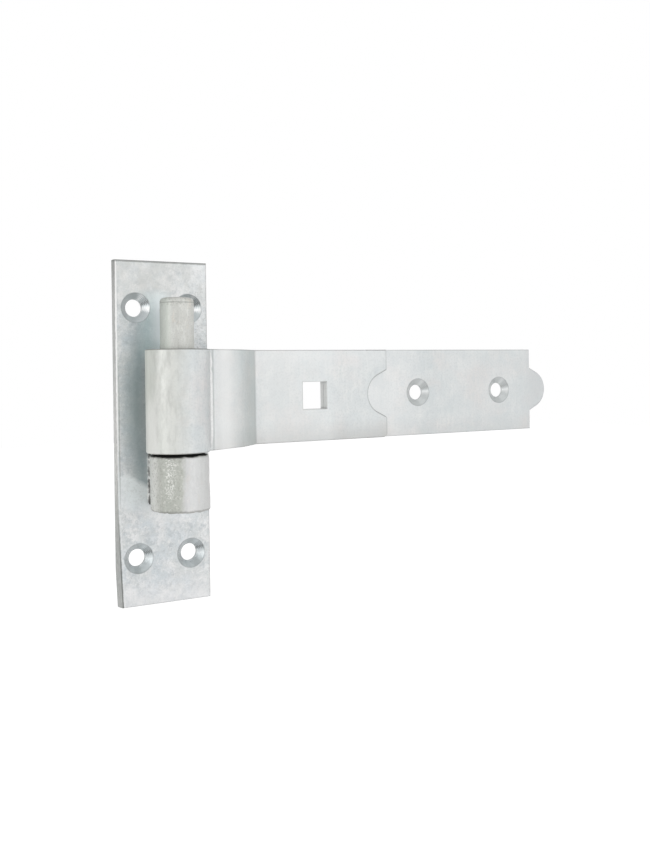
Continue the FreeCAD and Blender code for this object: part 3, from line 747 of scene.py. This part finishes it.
def make_forged_hook(material):
    """Forged hook: the plain form cut into fine facets, with the uneven skin of a forging."""
    source = bpy.data.objects.new("forging_source", frame["nodes"]["hook_pin"].data.copy())
    bpy.context.scene.collection.objects.link(source)
    remesh = source.modifiers.new("facets", "REMESH")
    remesh.mode = "VOXEL"
    remesh.voxel_size = FORGED_FACET * MM
    smooth = source.modifiers.new("smooth", "SMOOTH")
    smooth.factor = 0.5
    smooth.iterations = 4
    bpy.context.view_layer.update()
    evaluated = source.evaluated_get(bpy.context.evaluated_depsgraph_get())
    mesh = bpy.data.meshes.new_from_object(evaluated)
    bpy.data.objects.remove(source)
    normals = [vertex.normal.copy() for vertex in mesh.vertices]
    for vertex, normal in zip(mesh.vertices, normals):
        point = vertex.co / MM
        vertex.co = (forged_place(point) + normal * forged_surface(point)) * MM
    piece = new_piece("forged_hook", mesh, material, "hook")
    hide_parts("hook_pin")


def tube(path, radius_at, sides, closed):
    """Round tube along a path in millimetres; radius_at gives the radius at each of its points."""
    shape = bmesh.new()
    rings = []
    count = len(path)
    for index, point in enumerate(path):
        before = path[(index - 1) % count] if closed else path[max(index - 1, 0)]
        after = path[(index + 1) % count] if closed else path[min(index + 1, count - 1)]
        ahead = (after - before).normalized()
        across = ahead.cross(Vector((0, 1, 0))).normalized()
        away = across.cross(ahead)
        ring = []
        for side in range(sides):
            angle = 2 * math.pi * side / sides
            spoke = across * math.cos(angle) + away * math.sin(angle)
            reach = radius_at(index, point, spoke)
            ring.append(shape.verts.new((point + spoke * reach) * MM))
        rings.append(ring)
    following = rings[1:] + rings[:1] if closed else rings[1:]
    for first, second in zip(rings, following):
        for side in range(sides):
            after = (side + 1) % sides
            shape.faces.new((first[side], first[after], second[after], second[side]))
    if not closed:
        shape.faces.new(rings[0])
        shape.faces.new(rings[-1])
    bmesh.ops.recalc_face_normals(shape, faces=shape.faces)
    mesh = bpy.data.meshes.new("tube")
    shape.to_mesh(mesh)
    shape.free()
    return mesh


def make_weld(material):
    """Lumpy bead round the neck, in the corner between it and the plate."""
    leg = WELD_HIGH.y - WELD_LOW.y
    half_x = WELD_HIGH.x - leg
    half_z = (WELD_HIGH.z - WELD_LOW.z) / 2 - leg
    middle_z = (WELD_HIGH.z + WELD_LOW.z) / 2
    corners = [Vector((x * half_x, PLATE_LOW.y, middle_z + z * half_z))
               for x, z in ((-1, -1), (-1, 1), (1, 1), (1, -1))]
    path = []
    for first, second in zip(corners, corners[1:] + corners[:1]):
        steps = int((second - first).length / WELD_STEP)
        path.extend(first.lerp(second, step / steps) for step in range(steps))

    def radius_at(index, point, spoke):
        """Radius with ripples along the bead and lumps on it, wider along the left side."""
        ripple = RIPPLE_HEIGHT * math.sin(2 * math.pi * index / RIPPLE_STEPS)
        outer = point + spoke * leg
        spread = 1.25 if point.x < 1 - half_x else 1.05
        return leg * spread + ripple + 0.60 * lumps(outer, 2.6, 5.0) + 0.30 * lumps(outer, 0.9, 9.0)

    piece = new_piece("weld_bead", tube(path, radius_at, WELD_SIDES, True), material, "hook")
    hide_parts("boss_weld")


def make_seam(material):
    """Zinc that has run into the groove where the eye closes on the crank."""
    low = BAND_LOW.z + 1.4
    high = BAND_HIGH.z - 1.2
    pinch = high - 6.6
    path = []
    for step in range(SEAM_STEPS + 1):
        level = low + (high - low) * step / SEAM_STEPS
        sway = Vector((0.10 * lumps(Vector((0, 0, level)), 5.0, 2.0), 0, 0))
        path.append(Vector((SEAM.x, SEAM.y, level)) + sway)

    def radius_at(index, point, spoke):
        """Radius that tapers at both ends and narrows at the pinch."""
        share = index / SEAM_STEPS
        taper = min(1.0, math.sqrt(max(share, 0.002) / 0.12), math.sqrt(max(1 - share, 0.002) / 0.10))
        waist = 1.0 - 0.45 * math.exp(-((point.z - pinch) / 1.0) ** 2)
        return (SEAM_RADIUS + 0.05 * lumps(point, 4.0, 4.0)) * taper * waist

    new_piece("seam_bead", tube(path, radius_at, SEAM_SIDES, False), material, "strap")


def light_path(nodes):
    """1 where the camera, a reflection or a clear surface looks, and 0 where light is gathered."""
    path = nodes.add("ShaderNodeLightPath").outputs
    seen = nodes.math("MAXIMUM", path["Is Camera Ray"], path["Is Glossy Ray"])
    return nodes.math("MAXIMUM", seen, path["Is Transmission Ray"])


def make_floor():
    """White floor below the hinge that glows where it is looked at, so that it merges with the background."""
    level = CAD_BOX[0][2] - FLOOR_DROP
    mesh = bpy.data.meshes.new("floor")
    corners = [(x * FLOOR_HALF, y * FLOOR_HALF, level) for x, y in ((-1, -1), (1, -1), (1, 1), (-1, 1))]
    mesh.from_pydata(corners, [], [(0, 1, 2, 3)])
    floor = bpy.data.objects.new("floor", mesh)
    bpy.context.scene.collection.objects.link(floor)
    material = bpy.data.materials.new("floor_white")
    nodes = Nodes(material)
    grey = (FLOOR_GREY, FLOOR_GREY, FLOOR_GREY, 1)
    diffuse = nodes.add("ShaderNodeBsdfDiffuse", {"Color": grey}).outputs[0]
    glow = nodes.add("ShaderNodeEmission", {"Color": (1, 1, 1, 1), "Strength": FLOOR_GLOW}).outputs[0]
    shaded = nodes.add("ShaderNodeAddShader", {0: diffuse, 1: glow}).outputs[0]
    mix = nodes.add("ShaderNodeMixShader", {0: light_path(nodes), 1: diffuse, 2: shaded})
    nodes.end("ShaderNodeOutputMaterial", mix.outputs[0])
    mesh.materials.append(material)


def make_world():
    """White background that lights the hinge less than it shows."""
    world = bpy.data.worlds.new("studio")
    bpy.context.scene.world = world
    nodes = Nodes(world)
    strength = nodes.span(light_path(nodes), 0.0, 1.0, WORLD_LIGHT, 1.0)
    background = nodes.add("ShaderNodeBackground", {"Color": (1, 1, 1, 1), "Strength": strength})
    nodes.end("ShaderNodeOutputWorld", background.outputs[0])


def make_lamp(name, place, size, power):
    """Soft lamp aimed at the eye."""
    data = bpy.data.lights.new(name, "AREA")
    data.shape = "RECTANGLE"
    data.size, data.size_y = size
    data.energy = power
    lamp = bpy.data.objects.new(name, data)
    bpy.context.scene.collection.objects.link(lamp)
    lamp.location = place
    lamp.rotation_euler = (PIN_AXIS * MM - Vector(place)).to_track_quat("-Z", "Y").to_euler()


def make_camera():
    """Level camera, turned towards the strap, with a slight roll."""
    ahead = Vector((math.sin(CAMERA_TURN), math.cos(CAMERA_TURN), 0))
    right = Vector((math.cos(CAMERA_TURN), -math.sin(CAMERA_TURN), 0))
    up = Vector((0, 0, 1))
    rolled_right = right * math.cos(CAMERA_ROLL) + up * math.sin(CAMERA_ROLL)
    rolled_up = up * math.cos(CAMERA_ROLL) - right * math.sin(CAMERA_ROLL)
    data = bpy.data.cameras.new("camera")
    data.lens = CAMERA_LENS
    data.sensor_width = CAMERA_SENSOR
    data.shift_y = CAMERA_SHIFT
    data.clip_start = CAMERA_NEAR
    camera = bpy.data.objects.new("camera", data)
    bpy.context.scene.collection.objects.link(camera)
    place = Matrix((rolled_right, rolled_up, -ahead)).transposed().to_4x4()
    place.translation = CAMERA_PLACE
    camera.matrix_world = place
    bpy.context.scene.camera = camera


dress("hook_plate", plate_zinc())
dress("band", strip_zinc())
make_forged_hook(forged_zinc())
make_weld(weld_zinc())
make_seam(seam_zinc())
make_floor()
make_world()
for lamp_settings in LAMPS:
    make_lamp(*lamp_settings)
make_camera()
bpy.context.scene.view_settings.view_transform = "Standard"
